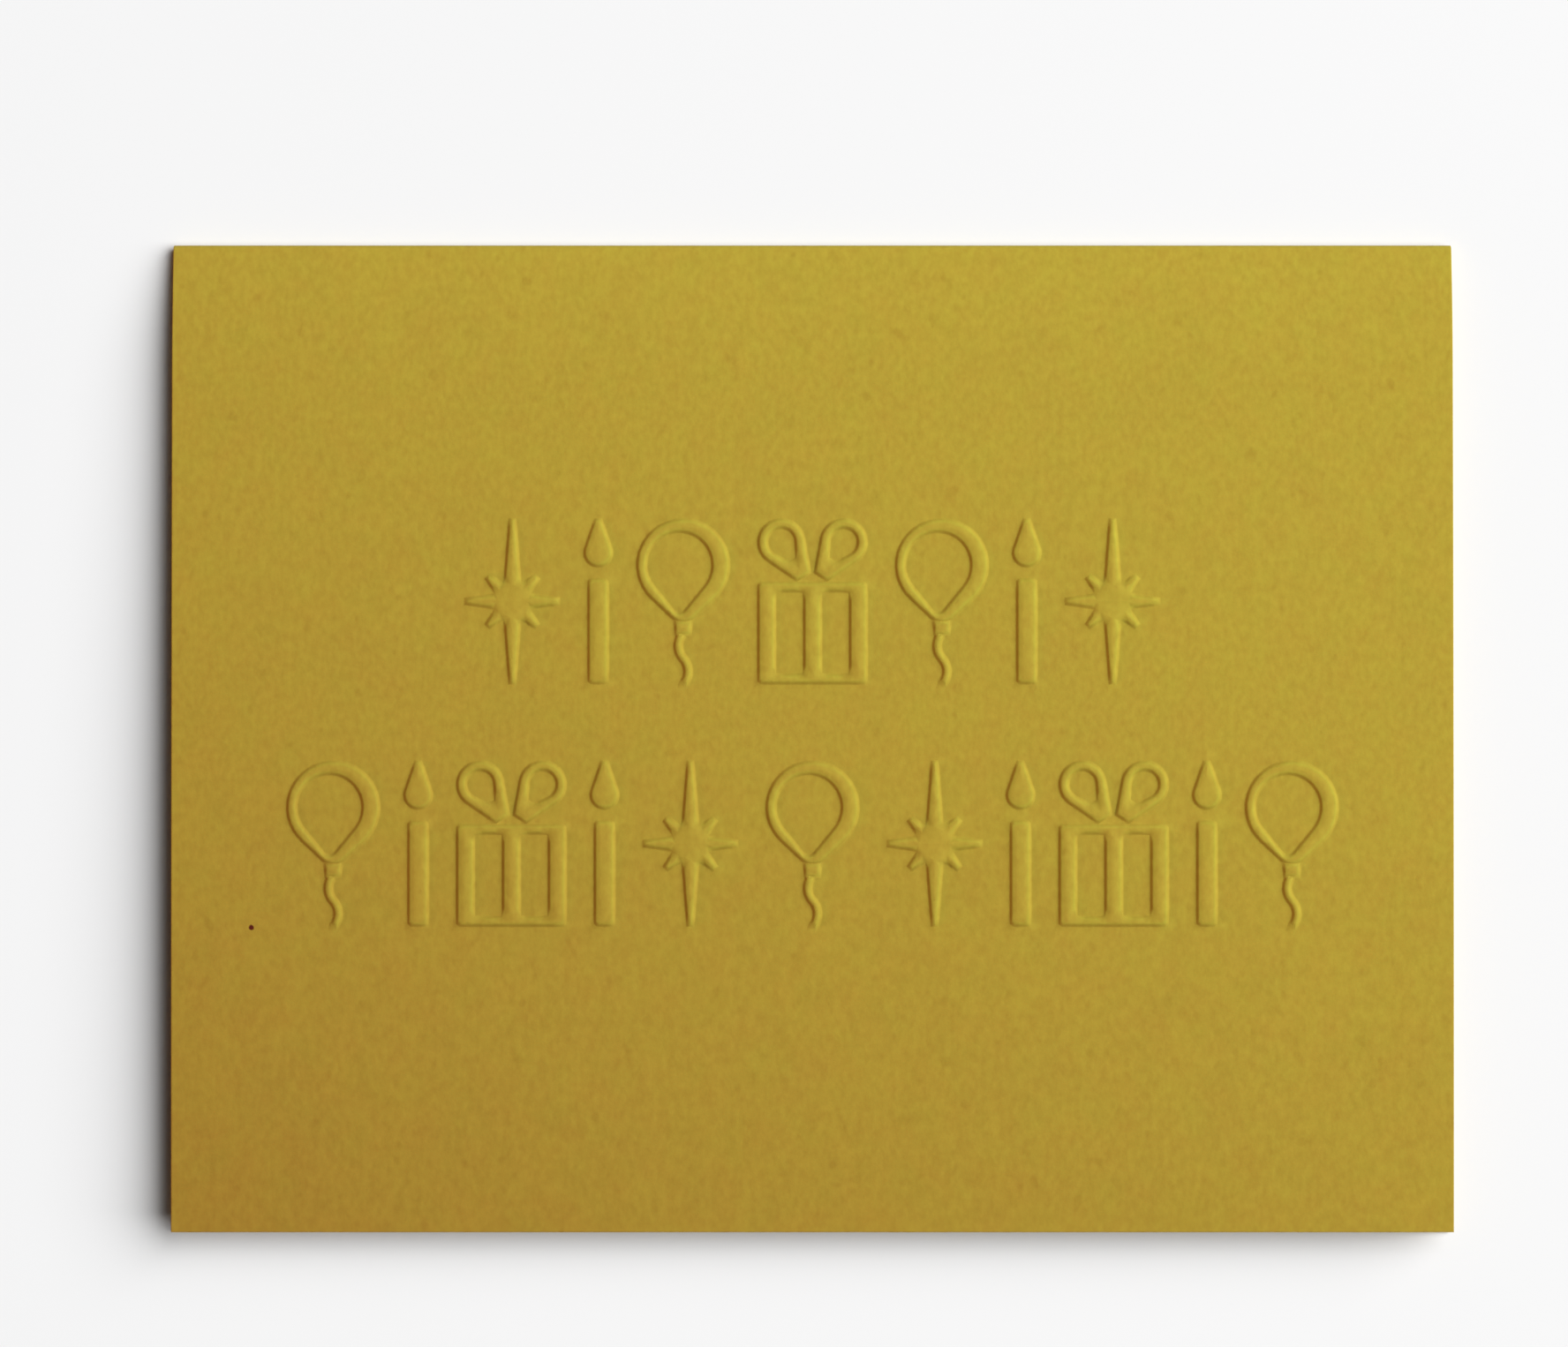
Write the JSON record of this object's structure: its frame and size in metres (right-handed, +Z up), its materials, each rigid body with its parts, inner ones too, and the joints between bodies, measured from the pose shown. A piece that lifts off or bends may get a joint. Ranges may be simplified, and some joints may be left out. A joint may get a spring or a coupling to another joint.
{
  "type": "greeting card",
  "caption": "Folded card of thick dyed paper with embossed party motifs on its cover, lying closed on its back leaf and slightly sprung open.",
  "frame": {"origin": "on the table, under the middle of the back leaf", "axes": "+X along the fold, +Y from the free edges to the fold, +Z up from the back leaf to the cover"},
  "size_m": [0.1396, 0.108, 0.0044],
  "materials": {
    "card_stock": "matte, dyed through in mustard yellow, finely mottled"
  },
  "bodies": {
    "root": {"folded_card": "card_stock"}
  },
  "joints": []
}
